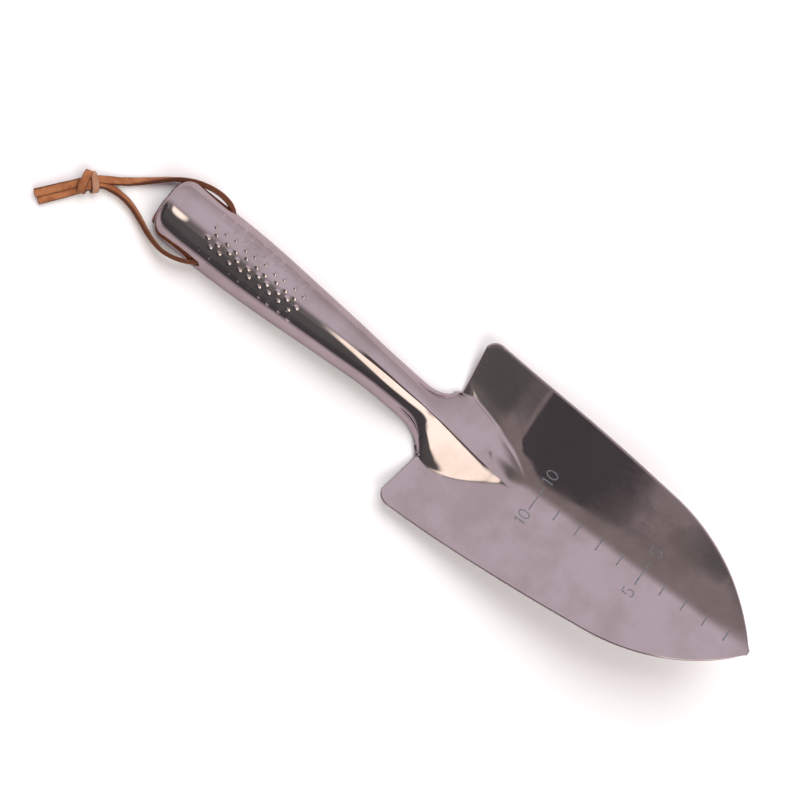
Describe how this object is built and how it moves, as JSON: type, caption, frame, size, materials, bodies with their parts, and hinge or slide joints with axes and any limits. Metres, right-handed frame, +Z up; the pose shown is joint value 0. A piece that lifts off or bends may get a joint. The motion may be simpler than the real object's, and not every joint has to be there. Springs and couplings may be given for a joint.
{
  "type": "hand transplanter",
  "caption": "Narrow pressed steel trowel with a pointed V-shaped scoop, an open-backed channel handle and a knotted leather hanging loop.",
  "frame": {"origin": "middle of the steel's length and width, on the surface the tool lies on", "axes": "+X along the tool from the handle's end to the blade's tip, +Y across the blade, +Z up out of the scoop"},
  "size_m": [0.3218, 0.077, 0.0363],
  "materials": {
    "steel": "mirror-polished stainless steel",
    "leather": "undyed tan leather lace, flat, with cut edges"
  },
  "bodies": {
    "trowel": {"pressing": "steel"},
    "thong": {"thong_inside": "leather", "thong_upper": "leather", "thong_lower": "leather", "thong_knot": "leather", "thong_tail_upper": "leather", "thong_tail_lower": "leather"}
  },
  "joints": [
    {"name": "thong_swing", "type": "hinge", "parent": "trowel", "child": "thong", "pos_m": [-0.118, 0, 0.0082], "axis": [0, 1, 0], "range_deg": [-100, 130]}
  ]
}
